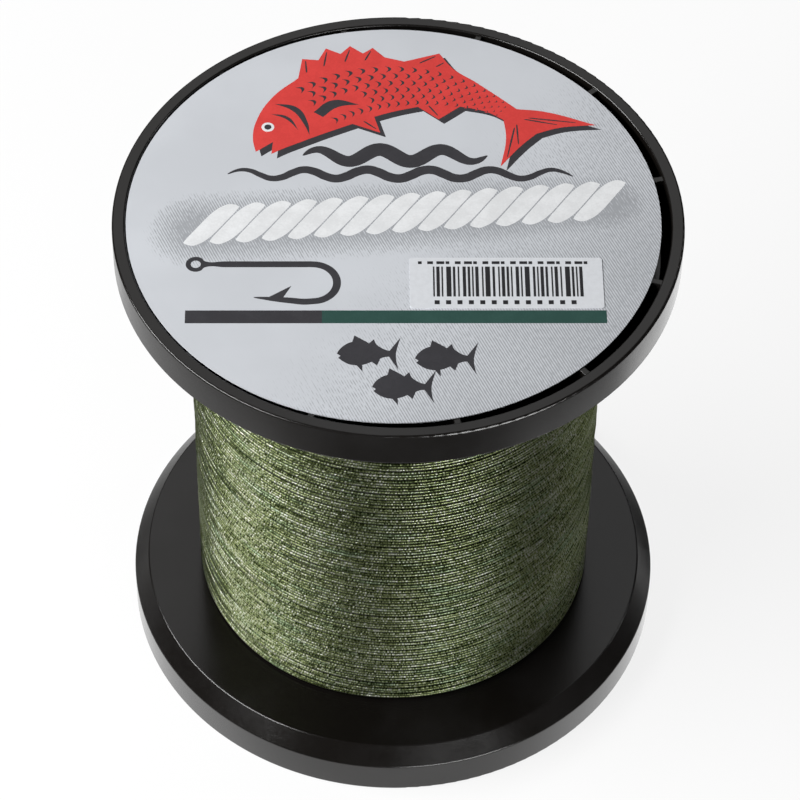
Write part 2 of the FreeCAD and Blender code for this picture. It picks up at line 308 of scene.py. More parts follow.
def new_piece(name, mesh, material):
    """Adds a piece of the spool that rides on its body."""
    piece = bpy.data.objects.new(name, mesh)
    bpy.context.scene.collection.objects.link(piece)
    dress(piece, material)
    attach(piece, BODY)
    return piece


# Scratches are noise read at these shares of y and z, which draws it out into hairs.
SCRATCH_DRAW = (0.08, 0.3)
SCRATCH_WEAR = 0.6
SCRATCH_DEPTH = 0.5
SPECK_WEIGHT = 0.35
PLASTIC_IOR = 1.5


def plastic_material(settings, name, dulling):
    """Moulded plastic: black with handled patches, fine grain and hair scratches."""
    finish = Finish(name)
    place = finish.place()
    patches = finish.noise(place, scale=38.0, detail=4.0, roughness=0.6)
    specks = finish.noise(place, scale=900.0, detail=2.0, roughness=0.6)
    grain = finish.noise(place, scale=3200.0, detail=3.0, roughness=0.6)
    x, y, z = finish.split(place)
    drawn = finish.join(x, finish.times(y, SCRATCH_DRAW[0]), finish.times(z, SCRATCH_DRAW[1]))
    hairs = finish.noise(drawn, scale=1400.0, detail=3.0, roughness=0.7)
    scratches = finish.rise(hairs, start=0.66, end=0.74)
    handled = finish.rise(patches, start=0.42, end=0.68)
    wear = finish.limit(finish.math("ADD", handled, finish.times(scratches, SCRATCH_WEAR)))
    speckled = finish.math("MULTIPLY_ADD", specks, SPECK_WEIGHT, patches)
    dullness = finish.rise(speckled, start=0.42, end=0.86)
    edges = finish.add("ShaderNodeBevel", {"Radius": settings.edge}, samples=6).outputs[0]
    relief = finish.bump(grain, settings.grain, strength=0.8, normal=edges)
    relief = finish.bump(scratches, settings.grain * SCRATCH_DEPTH, strength=0.5, normal=relief)
    return finish.surface({
        "Base Color": finish.blend(wear, opaque(settings.colour), opaque(settings.worn_colour)),
        "Roughness": finish.between(dullness, settings.polish + dulling, settings.haze + dulling),
        "IOR": PLASTIC_IOR,
        "Normal": relief,
    })


THREAD_MAP = "thread"
BRAID_STRANDS = 2

# Noise features per metre along the line and per way round it, how far each pattern moves the
# tone, and the tones: 0 is deep green and 1 is pale.
STREAKS_ALONG = 60.0
FIBRES_ALONG = 2600.0
FIBRES_AROUND = 2.0
STRETCHES_ALONG = 70.0
STRETCHES_ROW = 5.0
STREAK_WEIGHT = 2.7
WEAVE_WEIGHT = 0.5
FIBRE_WEIGHT = 2.3
MIDDLE_TONE = 0.47
OLIVE_TONE = 0.48
COOL_SHARE = 0.7
# Painted shade on each turn: its colour falls from a lit crown, which leans up from the turn's
# outermost line by the first of these in radians, to a groove colour, deep green times the second.
PAINTED_CROWN_LEAN = 0.75
PAINTED_GROOVE_SHADE = 0.5
WEAVE_RELIEF = 0.05 * MM
FIBRE_RELIEF = 0.06 * MM
LINE_METALLIC = 0.90
LINE_SPECULAR = 0.1
SHEEN_TINT = (0.60, 0.64, 0.50, 1.0)


def line_material(settings, name, painted_shade):
    """Braided line: plaited fibres with a metallic sheen. Their tone runs from deep green over
    olive to pale in streaks along the line, and some stretches are cooler. Painted shade darkens
    the groove between turns and each turn's lower side, and a given share of painted shade
    darkens the whole line."""
    finish = Finish(name)
    along, around, _ = finish.split(finish.add("ShaderNodeUVMap", uv_map=THREAD_MAP).outputs[0])
    plait = finish.times(along, math.tau / settings.braid_pitch)
    strand = finish.times(around, math.tau * BRAID_STRANDS)
    crossing = finish.times(
        finish.math("SINE", finish.math("ADD", plait, strand)),
        finish.math("SINE", finish.minus(plait, strand)),
    )
    weave = finish.math("MULTIPLY_ADD", crossing, 0.5, 0.5)
    streak_place = finish.join(finish.times(along, STREAKS_ALONG), around)
    streaks = finish.noise(streak_place, scale=1.0, detail=5.0, roughness=0.85)
    fibre_place = finish.join(
        finish.times(along, FIBRES_ALONG), finish.times(around, FIBRES_AROUND),
    )
    fibres = finish.noise(fibre_place, scale=1.0, detail=1.0, roughness=0.5)
    stretch_place = finish.join(finish.times(along, STRETCHES_ALONG), STRETCHES_ROW)
    stretches = finish.noise(stretch_place, scale=1.0, detail=2.0, roughness=0.5)
    tone = finish.sway(streaks, STREAK_WEIGHT, MIDDLE_TONE - painted_shade)
    tone = finish.sway(weave, WEAVE_WEIGHT, tone)
    tone = finish.sway(fibres, FIBRE_WEIGHT, tone)
    ramp = finish.add("ShaderNodeValToRGB", {0: tone})
    stops = ramp.color_ramp.elements
    stops[0].position, stops[0].color = 0.0, opaque(settings.deep_green)
    stops[1].position, stops[1].color = 1.0, opaque(settings.pale_fibre)
    stops.new(OLIVE_TONE).color = opaque(settings.olive)
    cool = finish.blend(tone, opaque(settings.deep_green), opaque(settings.cool_fibre))
    cooled = finish.times(finish.rise(stretches, start=0.50, end=0.68), COOL_SHARE)
    tinted = finish.blend(cooled, ramp.outputs[0], cool)
    # Painted shade: away from the lit crown each turn darkens to the groove colour, so the grooves
    # between turns and each turn's lower side are painted dark.
    turned = finish.math("MULTIPLY_ADD", around, math.tau, -PAINTED_CROWN_LEAN)
    crown = finish.rise(finish.math("COSINE", turned), start=0.50, end=0.94)
    groove = opaque(settings.deep_green, PAINTED_GROOVE_SHADE)
    relief = finish.bump(weave, WEAVE_RELIEF)
    relief = finish.bump(fibres, FIBRE_RELIEF, normal=relief)
    return finish.surface({
        "Base Color": finish.blend(crown, groove, tinted),
        "Metallic": LINE_METALLIC,
        "Specular IOR Level": LINE_SPECULAR,
        "Specular Tint": SHEEN_TINT,
        "Roughness": finish.between(fibres, start=0.26, end=0.36),
        "Normal": relief,
    })


def swept_mesh(name, rows, along, around, ring):
    """A mesh over rows of points that each close round, with a thread map of metres along the line
    and of the share of the way round it. A ring joins its last row to its first, and a rod has
    flat ends."""
    row_count, side_count = rows.shape[:2]
    faces_along = row_count if ring else row_count - 1
    row, side = np.meshgrid(np.arange(faces_along), np.arange(side_count), indexing="ij")
    corner_rows = np.stack([row, row, row + 1, row + 1], axis=-1).reshape(-1, 4)
    corner_sides = np.stack([side, side + 1, side + 1, side], axis=-1).reshape(-1, 4)
    faces = ((corner_rows % row_count) * side_count + corner_sides % side_count).tolist()
    corners = (corner_rows, corner_sides)
    spots = np.stack([along[corners], around[corners]], axis=-1).reshape(-1, 2)
    if not ring:
        last = (row_count - 1) * side_count
        faces.append(list(range(side_count - 1, -1, -1)))
        faces.append(list(range(last, last + side_count)))
        spots = np.concatenate([spots, np.zeros((2 * side_count, 2))])
    mesh = bpy.data.meshes.new(name)
    mesh.from_pydata(rows.reshape(-1, 3).tolist(), [], faces)
    mesh.uv_layers.new(name=THREAD_MAP).data.foreach_set("uv", spots.astype(np.float32).ravel())
    mesh.shade_smooth()
    return mesh


TURN_STEPS = 104
TURN_SIDES = 8
TUCK_STEPS = 30
TUCK_DEPTH = 1.3 * MM

# How the line strays and sinks: the share, the samples between two new values, and the seed.
STRAYING = ((0.5, TURN_STEPS // 5, 3), (0.5, TURN_STEPS // 17, 5))
SINKING = ((0.3, TURN_STEPS // 6, 7), (0.2, TURN_STEPS // 20, 11))
SUNK = 0.5


def wander(count, parts, middle):
    """Random values that move smoothly round a middle, added up from parts of several lengths."""
    total = middle
    for part, spacing, seed in parts:
        knots = np.random.default_rng(seed).uniform(-1, 1, count // spacing + 3)
        place = np.arange(count) / spacing
        before = place.astype(int)
        share = place - before
        share = share * share * (3 - 2 * share)
        total = total + part * (knots[before] * (1 - share) + knots[before + 1] * share)
    return total


def outer_layer_mesh(settings):
    """The one line that winds up the spool in close turns, its ends tucked in."""
    count = settings.turns * TURN_STEPS + 1
    half = settings.thickness / 2
    angle = math.tau * np.arange(count) / TURN_STEPS
    low, high = TURNS_LOW[2] + half, TURNS_HIGH[2] - half
    height = np.linspace(low, high, count) + wander(count, STRAYING, 0.0) * settings.wander
    height = np.clip(height, low, high)
    radius = TURNS_HIGH[0] - half - wander(count, SINKING, SUNK) * settings.sink
    tuck = np.clip(1 - np.arange(count) / TUCK_STEPS, 0, 1)
    radius -= TUCK_DEPTH * (tuck + tuck[::-1]) ** 2
    turn = math.tau * np.arange(TURN_SIDES) / TURN_SIDES
    reach = radius[:, None] + half * np.cos(turn)[None, :]
    rows = np.stack(
        [
            reach * np.cos(angle)[:, None],
            reach * np.sin(angle)[:, None],
            height[:, None] + half * np.sin(turn)[None, :],
        ],
        axis=-1,
    )
    along = np.repeat(angle[:, None] * TURNS_HIGH[0], TURN_SIDES + 1, axis=1)
    around = np.tile(np.arange(TURN_SIDES + 1) / TURN_SIDES, (count, 1))
    return swept_mesh("outer_layer", rows, along, around, ring=False)


SLEEVE_STEPS = 96
SLEEVE_GAP = 0.02 * MM
RIDGE_HEIGHT = 0.4


def under_layer_mesh(settings):
    """The sleeve of line under the outer layer, ridged by its own turns."""
    ridges = settings.turns
    pitch = (PACK_HIGH[2] - PACK_LOW[2]) / ridges
    crown = TURNS_HIGH[0] - settings.thickness - settings.sink
    groove = crown - settings.thickness * RIDGE_HEIGHT
    inside = BARREL_HIGH[0] + SLEEVE_GAP
    profile = [(inside, PACK_LOW[2])]
    for ridge in range(ridges):
        profile.append((groove, PACK_LOW[2] + ridge * pitch))
        profile.append((crown, PACK_LOW[2] + (ridge + 0.5) * pitch))
    profile += [(groove, PACK_HIGH[2]), (inside, PACK_HIGH[2])]
    angle = math.tau * np.arange(SLEEVE_STEPS) / SLEEVE_STEPS
    reach, height = np.array(profile).T
    rows = np.stack(
        [
            reach[:, None] * np.cos(angle)[None, :],
            reach[:, None] * np.sin(angle)[None, :],
            np.repeat(height[:, None], SLEEVE_STEPS, axis=1),
        ],
        axis=-1,
    )
    step = np.arange(SLEEVE_STEPS + 1)[None, :] / SLEEVE_STEPS
    level = np.arange(len(profile) + 1)[:, None]
    along = math.tau * crown * (step + level // 2)
    around = np.repeat((level + 1) % 2 * 0.5, SLEEVE_STEPS + 1, axis=1)
    return swept_mesh("under_layer", rows, along, around, ring=True)


PRINT_SPECULAR = 0.15
DOT_WEIGHT = 0.4
INK_RELIEF = 0.004 * MM
CARD_RELIEF = 0.006 * MM
PAPER_RELIEF = 0.008 * MM


def ink_material(name, colour, roughness=0.55):
    """Offset ink on card: a little mottled, paler and duller where it lies thin."""
    finish = Finish(name)
    place = finish.place()
    mottle = finish.noise(place, scale=260.0, detail=4.0, roughness=0.65)
    dots = finish.noise(place, scale=2600.0, detail=1.0, roughness=0.5)
    thinness = finish.rise(finish.sway(dots, DOT_WEIGHT, mottle), start=0.30, end=0.74)
    solid, thin = opaque(colour, factor=0.95), opaque(colour, factor=1.07, lift=0.003)
    return finish.surface({
        "Base Color": finish.blend(thinness, solid, thin),
        "Roughness": finish.between(mottle, roughness - 0.08, roughness + 0.12),
        "Specular IOR Level": PRINT_SPECULAR,
        "Normal": finish.bump(dots, INK_RELIEF, strength=0.5),
    })


# The rope's slope, middle and reach on the label, and its strands' sizes in millimetres.
ROPE_SLOPE = 0.085
ROPE_CENTRE = 1.5 * MM
ROPE_MIDDLE = 1.2 * MM
ROPE_REACH = 40.0 * MM
ROPE_HALF = 4.3
STRAND_STEP = 5.0
STRAND_LEAN = 5.6
STRAND_HALF = 1.75

# The slants weigh x and y. Hatching is an amount from 0 to 1 that widens its lines.
HATCH_SLANT = (0.91, 0.41)
HATCH_INK = 0.62
HATCH_GAIN = 2.2
HATCH_THRESHOLD = 1.3
WEAVE_DRAW = 0.5
WEAVE_BREAK = 2.4
CORNER_SLANT = (0.8, 0.55)
CORNER_SPAN = (-10 * MM, 62 * MM)
CORNER_WEIGHT = 0.93
HALO_DROP = 1.2 * MM
HALO_SPAN = (12.0 * MM, 2.0 * MM)
HALO_WEIGHT = 1.1
CARD_SHADE = 0.93


def hatching(finish, place, pitch):
    """Share of the card under the hatching's ink: uneven slanting lines that swell towards the
    label's lower right and into a halo round the rope."""
    x, y, _ = finish.split(place)
    slant = finish.math("MULTIPLY_ADD", x, HATCH_SLANT[0], finish.times(y, HATCH_SLANT[1]))
    weave_place = finish.join(slant, finish.times(y, WEAVE_DRAW))
    weave = finish.noise(weave_place, scale=1900.0, detail=1.0, roughness=0.5)
    lines = finish.math("SINE", finish.times(slant, math.tau / pitch))
    lines = finish.sway(weave, WEAVE_BREAK, lines)
    towards = finish.minus(finish.times(x, CORNER_SLANT[0]), finish.times(y, CORNER_SLANT[1]))
    corner = finish.rise(towards, *CORNER_SPAN)
    rope_line = finish.math("MULTIPLY_ADD", x, ROPE_SLOPE, ROPE_MIDDLE - HALO_DROP)
    across = finish.math("ABSOLUTE", finish.minus(y, rope_line))
    past_end = finish.minus(finish.math("ABSOLUTE", finish.minus(x, ROPE_CENTRE)), ROPE_REACH)
    beyond = finish.math("MAXIMUM", past_end, 0.0)
    squares = finish.math(
        "ADD", finish.math("POWER", across, 2.0), finish.math("POWER", beyond, 2.0),
    )
    halo = finish.times(finish.rise(finish.math("SQRT", squares), *HALO_SPAN), HALO_WEIGHT)
    amount = finish.math("MAXIMUM", finish.times(corner, CORNER_WEIGHT), halo)
    swell = finish.math("MULTIPLY_ADD", amount, HATCH_GAIN, -HATCH_THRESHOLD)
    covered = finish.rise(finish.math("ADD", lines, swell), start=-0.35, end=0.55)
    return finish.times(covered, finish.rise(amount, start=0.0, end=0.30))


def card_material(settings):
    """Coated silver card, a little clouded, with fine grey hatching."""
    finish = Finish("coated card")
    place = finish.place()
    clouds = finish.noise(place, scale=42.0, detail=3.0, roughness=0.55)
    fibre = finish.noise(place, scale=1500.0, detail=3.0, roughness=0.6)
    light = finish.rise(clouds, start=0.30, end=0.70)
    card = finish.blend(light, opaque(settings.card, CARD_SHADE), opaque(settings.card))
    ink = finish.times(hatching(finish, place, settings.hatch_pitch), HATCH_INK)
    return finish.surface({
        "Base Color": finish.blend(ink, card, opaque(settings.hatch)),
        "Roughness": finish.between(fibre, start=0.50, end=0.64),
        "Specular IOR Level": PRINT_SPECULAR,
        "Normal": finish.bump(fibre, CARD_RELIEF, strength=0.5),
    })


def paper_material(settings):
    """White sticker paper with faint fibres."""
    finish = Finish("sticker paper")
    fibre = finish.noise(finish.place(), scale=1100.0, detail=4.0, roughness=0.65)
    greyness = finish.rise(fibre, start=0.35, end=0.7)
    return finish.surface({
        "Base Color": finish.blend(greyness, opaque(settings.paper), opaque(settings.paper, 0.94)),
        "Roughness": finish.between(fibre, start=0.5, end=0.7),
        "Specular IOR Level": PRINT_SPECULAR,
        "Normal": finish.bump(fibre, PAPER_RELIEF, strength=0.5),
    })


CURVE_STEPS = 6


def printed_shape(name, loops, height, level, material):
    """A flat printed shape with its outlines in millimetres on the label. Inner loops are holes,
    and each loop is a list of (x, y, is_corner)."""
    curve = bpy.data.curves.new(name, "CURVE")
    curve.dimensions = "2D"
    curve.fill_mode = "BOTH"
    curve.extrude = height / 2
    curve.resolution_u = CURVE_STEPS
    for loop in loops:
        spline = curve.splines.new("BEZIER")
        spline.bezier_points.add(len(loop) - 1)
        spline.use_cyclic_u = True
        for point, (x, y, is_corner) in zip(spline.bezier_points, loop):
            point.co = (x * MM, y * MM, 0)
            kind = "VECTOR" if is_corner else "AUTO"
            point.handle_left_type = kind
            point.handle_right_type = kind
    drawing = bpy.data.objects.new(name + "_drawing", curve)
    bpy.context.scene.collection.objects.link(drawing)
    drawing.location = (0, 0, level + height / 2)
    bpy.context.view_layer.update()
    graph = bpy.context.evaluated_depsgraph_get()
    mesh = bpy.data.meshes.new_from_object(drawing.evaluated_get(graph))
    mesh.transform(drawing.matrix_world)
    bpy.data.objects.remove(drawing)
    return new_piece(name, mesh, material)


# The fish's outline as (share of its length, millimetres above its spine, is_corner): the back from
# mouth to tail with its two fins, then the tail's lower half and the belly back to the mouth.
FISH_BACK = [
    (0.000, 0.9, 1), (0.040, 2.9, 0), (0.10, 5.0, 0), (0.20, 7.2, 0), (0.290, 8.3, 1),
    (0.330, 12.6, 1), (0.362, 10.9, 1), (0.392, 13.4, 1), (0.418, 11.0, 1), (0.446, 12.6, 1),
    (0.470, 10.0, 1), (0.496, 11.2, 1), (0.520, 8.3, 1), (0.570, 6.9, 1), (0.655, 9.8, 1),
    (0.700, 6.2, 0), (0.770, 4.2, 1), (0.860, 2.6, 0), (0.930, 2.1, 1), (0.990, 5.4, 0),
    (1.100, 11.6, 1), (1.062, 5.0, 0), (1.045, 0.4, 1),
]
FISH_BELLY = [
    (1.062, -4.0, 0), (1.120, -10.4, 1), (1.000, -5.2, 0), (0.930, -1.9, 1), (0.860, -2.2, 0),
    (0.770, -3.4, 1), (0.715, -8.2, 1), (0.620, -5.6, 1), (0.520, -7.0, 0), (0.440, -7.7, 1),
    (0.440, -12.2, 1), (0.340, -8.0, 1), (0.200, -6.9, 0), (0.100, -4.9, 0), (0.045, -3.2, 0),
    (0.012, -2.1, 1), (0.062, -0.8, 1),
]
PLAIN_BACK = FISH_BACK[:6] + FISH_BACK[12:]
FISH_GILLS = [
    [
        (0.185, 5.6, 1), (0.222, 2.0, 0), (0.205, -2.6, 0),
        (0.165, -5.4, 1), (0.190, -2.4, 0), (0.203, 1.8, 0),
    ],
    [(0.150, 4.2, 1), (0.176, 1.2, 0), (0.155, -3.0, 1), (0.165, 1.0, 0)],
]
FISH_PECTORAL = [
    (0.250, -1.2, 1), (0.330, -0.4, 0), (0.405, -3.6, 1), (0.330, -2.6, 0), (0.262, -3.4, 1),
]
FISH_RAYS = [
    (0.318, 8.8, 0.334, 11.8), (0.366, 8.9, 0.390, 12.4), (0.420, 8.6, 0.442, 11.6),
    (0.470, 8.0, 0.490, 10.4), (0.610, 6.6, 0.648, 8.9), (0.655, 6.0, 0.672, 7.4),
    (0.980, 2.0, 1.070, 8.6), (0.975, 1.1, 1.050, 5.2), (0.975, -1.0, 1.050, -4.2),
    (0.980, -1.9, 1.085, -8.0), (0.660, -5.0, 0.706, -7.2), (0.390, -8.2, 0.428, -11.0),
]
RAY_HALVES = (0.05, 0.17, 0.14, 0.04)
FISH_EYE = (0.105, 2.3)
EYE_RADIUS = 1.25
PUPIL_RADIUS = 0.70

# Rows of scales on a body whose girth falls away from its middle, with none under the fin.
FISH_GIRTH = 6.6
GIRTH_MIDDLE = 0.30
GIRTH_REACH = 0.72
SCALE_ROWS = 6
SCALE_STEP = 0.036
SCALE_SPREAD = 0.82
SCALE_SIZE = 0.95
SCALE_LEAST = 0.3
SCALES_FROM, SCALES_TO = 0.265, 0.90
SCALE_EDGE, SCALE_HOLLOW = 0.018, 0.009
FIN_LOW, FIN_HIGH, FIN_END = -4.2, 0.4, 0.42


def on_arc(middle, radius, start, end, scale):
    """A function that turns a place along and across the fish into millimetres on the label."""
    def place(along, across):
        angle = math.radians(start + (end - start) * along)
        reach = radius + across * scale
        return middle[0] + reach * math.cos(angle), middle[1] + reach * math.sin(angle)
    return place


def bent(loop, place):
    """The loop's points moved from along and across the fish to the label."""
    return [(*place(along, across), corner) for along, across, corner in loop]


def disc(middle, radius):
    quarters = [turn * math.pi / 2 for turn in range(4)]
    return [
        (middle[0] + radius * math.cos(turn), middle[1] + radius * math.sin(turn), 0)
        for turn in quarters
    ]


def rectangle(left, bottom, right, top):
    return [(left, bottom, 1), (right, bottom, 1), (right, top, 1), (left, top, 1)]


def stroke(points, halves):
    """Outline of a pen stroke along the points, with half its width at each of them."""
    points = np.array(points, dtype=float)
    heading = np.gradient(points, axis=0)
    heading /= np.linalg.norm(heading, axis=1)[:, None]
    side = np.stack([-heading[:, 1], heading[:, 0]], axis=1) * np.array(halves)[:, None]
    return [(x, y, 0) for x, y in np.concatenate([points + side, (points - side)[::-1]]).tolist()]


def fish_scales(place):
    """Crescents in rows from the gills back, left out where the pectoral fin is."""
    scales = []
    for row in range(SCALE_ROWS):
        along = SCALES_FROM + SCALE_STEP / 2 * (row % 2)
        while along < SCALES_TO:
            half_girth = FISH_GIRTH * (1 - ((along - GIRTH_MIDDLE) / GIRTH_REACH) ** 2)
            across = half_girth * (SCALE_SPREAD - 2 * SCALE_SPREAD * row / (SCALE_ROWS - 1))
            size = half_girth / SCALE_ROWS * SCALE_SIZE
            off_fin = across > FIN_HIGH or across < FIN_LOW or along > FIN_END
            if off_fin and size > SCALE_LEAST:
                crescent = [
                    (along, across + size, 1), (along + size * SCALE_EDGE, across, 0),
                    (along, across - size, 1), (along + size * SCALE_HOLLOW, across, 0),
                ]
                scales.append(bent(crescent, place))
            along += SCALE_STEP
    return scales


def fish_marks(place):
    """Gills, fins, fin rays and scales, left out of the fish's ink."""
    marks = [bent(loop, place) for loop in (*FISH_GILLS, FISH_PECTORAL)]
    share = np.linspace(0, 1, len(RAY_HALVES))[:, None]
    for along, across, end_along, end_across in FISH_RAYS:
        root, tip = np.array([place(along, across), place(end_along, end_across)])
        marks.append(stroke(root * (1 - share) + tip * share, RAY_HALVES))
    return marks + fish_scales(place)


# Half widths of a stroke's tips in millimetres, and points along a stroke.
PEN_POINT = 0.05
WAVE_POINTS = 33
STRAND_POINTS = 11
STRAND_POINT = 0.06
STRAND_ROUNDING = (2.4, 0.6)


def wave(left, right, middle, swell, length, weight):
    """One wave stroke that tapers to both ends."""
    share = np.linspace(0, 1, WAVE_POINTS)
    x = left + (right - left) * share
    y = middle + swell * np.sin(math.tau * (x - left) / length)
    halves = PEN_POINT + weight / 2 * np.sin(math.pi * share) ** 0.5
    return stroke(np.stack([x, y], axis=1), halves)


def rope_strands():
    """Slanting strands with bent ends, side by side along a gently rising line."""
    strands = []
    tilt = math.atan(ROPE_SLOPE)
    share = np.linspace(-1, 1, STRAND_POINTS)
    inner, outer = STRAND_ROUNDING
    halves = STRAND_POINT + STRAND_HALF * (1 - np.abs(share) ** inner) ** outer
    across = ROPE_HALF * np.sin(share * math.pi / 2)
    count = int(2 * ROPE_REACH / MM / STRAND_STEP)
    for number in range(count):
        along = (number - (count - 1) / 2) * STRAND_STEP + STRAND_LEAN * share
        x = ROPE_CENTRE / MM + along * math.cos(tilt) - across * math.sin(tilt)
        y = ROPE_MIDDLE / MM + along * math.sin(tilt) + across * math.cos(tilt)
        strands.append(stroke(np.stack([x, y], axis=1), halves))
    return strands


# The hook's parts in millimetres on the label.
HOOK_EYE = (-38.6, -12.2)
EYELET_RADIUS = 1.9
EYELET_HOLE = 0.95
HOOK_HALF = 0.75
HOOK_BEND = (-16.5, -16.9)
BEND_RADIUS = 4.7
SHANK_START = 1.8
SHANK_END = 1.5
PRONG_START = -21.7
HOOK_TIP = (-27.5, -20.6)
TIP_HALVES = (0.75, 0.72, 0.62, 0.40, 0.04)
SHANK_POINTS, BEND_POINTS, EYELET_POINTS = 6, 11, 9
BARB = [(-24.6, -20.50, 1), (-20.4, -17.7, 1), (-21.9, -20.58, 1)]


def hook():
    """A fishing hook lying on its side: eye, shank, bend, point and barb."""
    eye, bend = np.array(HOOK_EYE), np.array(HOOK_BEND)
    straight_end = bend[0] - SHANK_END
    turn = np.linspace(math.pi / 2, -math.pi / 2, BEND_POINTS)
    curve = bend + BEND_RADIUS * np.stack([np.cos(turn), np.sin(turn)], axis=1)
    shank_x = np.linspace(eye[0] + SHANK_START, straight_end, SHANK_POINTS)
    shank = np.stack([shank_x, np.full(SHANK_POINTS, eye[1])], axis=1)
    prong_x = np.linspace(straight_end, HOOK_TIP[0], len(TIP_HALVES))
    prong_y = np.linspace(PRONG_START, HOOK_TIP[1], len(TIP_HALVES))
    prong = np.stack([prong_x, prong_y], axis=1)
    halves = np.concatenate([np.full(SHANK_POINTS + BEND_POINTS, HOOK_HALF), TIP_HALVES])
    outline = stroke(np.concatenate([shank, curve, prong]), halves)
    # The barb stands on the prong's inner side, two points back from the tip.
    barb_at = len(outline) // 2 + 2
    outline[barb_at:barb_at + 1] = BARB
    start = math.asin(HOOK_HALF / EYELET_RADIUS)
    ring = np.linspace(-start, start - math.tau, EYELET_POINTS)[1:-1]
    rim = eye + EYELET_RADIUS * np.stack([np.cos(ring), np.sin(ring)], axis=1)
    outline += [(x, y, 0) for x, y in rim.tolist()]
    return [outline, disc(eye, EYELET_HOLE)]


class SPOOL_OT_finish_flanges(bpy.types.Operator):
    """Gives both flanges their moulded black plastic"""

    bl_idname = "spool.finish_flanges"
    bl_label = "Finish flanges"

    def execute(self, context):
        plastic = plastic_material(context.scene.spool_plastic, "satin black plastic", 0.0)
        for name in ("bottom_flange", "top_flange"):
            dress(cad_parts[name], plastic)
        return {"FINISHED"}


BARREL_DULLING = 0.15


class SPOOL_OT_finish_barrel(bpy.types.Operator):
    """Gives the barrel between the flanges its duller plastic"""

    bl_idname = "spool.finish_barrel"
    bl_label = "Finish barrel"

    def execute(self, context):
        settings = context.scene.spool_plastic
        plastic = plastic_material(settings, "dull black plastic", BARREL_DULLING)
        dress(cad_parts["barrel"], plastic)
        return {"FINISHED"}


# Each layer of line: its piece, what makes its mesh, the node it replaces, its material, and
# the share of painted shade that darkens its colour.
LINE_LAYERS = (
    ("outer_layer", outer_layer_mesh, "line_turns", "braided line", 0.0),
    # The under layer is the same line, made darker by painted shade.
    ("under_layer", under_layer_mesh, "line_pack", "shaded braided line", 0.30),
)


class SPOOL_OT_wind_line(bpy.types.Operator):
    """Winds the line on the barrel: a ridged under layer and one line in close turns on it"""

    bl_idname = "spool.wind_line"
    bl_label = "Wind line"

    def execute(self, context):
        settings = context.scene.spool_line
        for name, mesh_of, node, finish, painted_shade in LINE_LAYERS:
            material = line_material(settings, finish, painted_shade)
            piece = new_piece(name, mesh_of(settings), material)
            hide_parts(node)
        return {"FINISHED"}


PRINT_SINK = 0.002 * MM

# Where the prints lie on the label in millimetres. An arc is its radius, the degrees where a fish's
# mouth and tail lie on it, and the fish's scale.
FISH_MIDDLE = (1.5, 4.4)
SHADOW_MIDDLE = (2.6, 3.2)
FISH_ARC = (31.0, 156.0, 40.0, 1.0)
WAVES = ((-18.5, 17.5, 16.4, 1.6, 12.0, 3.4), (-33.0, 34.0, 11.4, 1.2, 12.0, 2.2))
STRIPE_LEFT, STRIPE_CHANGE, STRIPE_RIGHT = -40.3, -14.6, 38.9
STRIPE_LOW, STRIPE_HIGH = -27.1, -23.9
SCHOOL = ((-10.5, -34.6), (4.0, -35.8), (-4.0, -42.7))
SCHOOL_ARC = (60.0, 96.0, 86.0, 0.36)
SCHOOL_SHIFT = 5


class SPOOL_OT_print_label(bpy.types.Operator):
    """Finishes the label's card and prints fish, waves, a rope, a hook and a colour stripe on it"""

    bl_idname = "spool.print_label"
    bl_label = "Print label"

    def execute(self, context):
        settings = context.scene.spool_label
        dress(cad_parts["top_label"], card_material(settings))
        red = ink_material("red ink", settings.red)
        charcoal = ink_material("charcoal ink", settings.charcoal)
        green = ink_material("green ink", settings.green)
        white = ink_material("white ink", settings.white, roughness=0.62)

        fish = on_arc(FISH_MIDDLE, *FISH_ARC)
        shadow = on_arc(SHADOW_MIDDLE, *FISH_ARC)
        eye = fish(*FISH_EYE)
        fish_loop = bent(FISH_BACK + FISH_BELLY, fish)
        dark_stripe = rectangle(STRIPE_LEFT, STRIPE_LOW, STRIPE_CHANGE, STRIPE_HIGH)
        green_stripe = rectangle(STRIPE_CHANGE, STRIPE_LOW, STRIPE_RIGHT, STRIPE_HIGH)
        school = []
        for x, y in SCHOOL:
            small = on_arc((x + SCHOOL_SHIFT, y - SCHOOL_ARC[0]), *SCHOOL_ARC)
            school.append(bent(PLAIN_BACK + FISH_BELLY, small))
        prints = (
            ("fish_shadow", [bent(FISH_BACK + FISH_BELLY, shadow)], 1, charcoal),
            ("fish_ground", [fish_loop], 1.5, charcoal),
            ("fish", [fish_loop, *fish_marks(fish)], 2, red),
            ("fish_eye", [disc(eye, EYE_RADIUS)], 3, white),
            ("fish_pupil", [disc(eye, PUPIL_RADIUS)], 4, charcoal),
            ("waves", [wave(*values) for values in WAVES], 1, charcoal),
            ("rope", rope_strands(), 1, white),
            ("hook", hook(), 1, charcoal),
            ("stripe_dark", [dark_stripe], 1, charcoal),
            ("stripe_green", [green_stripe], 1, green),
            ("small_fish", school, 1, charcoal),
        )
        for name, loops, layers, ink in prints:
            height = settings.ink_height * layers
            printed_shape(name, loops, height, LABEL_HIGH[2] - PRINT_SINK, ink)
        return {"FINISHED"}


# The sticker's print in millimetres from its sides: the bars, and a row of dashes above and below.
BAR_WIDTHS = (0.30, 0.62, 0.30, 0.92, 0.46, 0.30, 0.62, 0.46)
BAR_GAPS = (0.34, 0.34, 0.62, 0.34, 0.46, 0.62, 0.34)
BARS_LEFT, BARS_RIGHT, BARS_LOW, BARS_HIGH = 4.4, 4.2, 2.9, 2.3
UPPER_DASHES, UPPER_START, UPPER_STEP = 19, 1.6, 1.75
UPPER_LOW, UPPER_HIGH, UPPER_SHORT, UPPER_LONGER = 1.65, 0.95, 0.7, 0.4
LOWER_DASHES, LOWER_START, LOWER_STEP = 13, 4.6, 2.15
LOWER_LOW, LOWER_HIGH, LOWER_LENGTH = 0.95, 1.95, 0.95


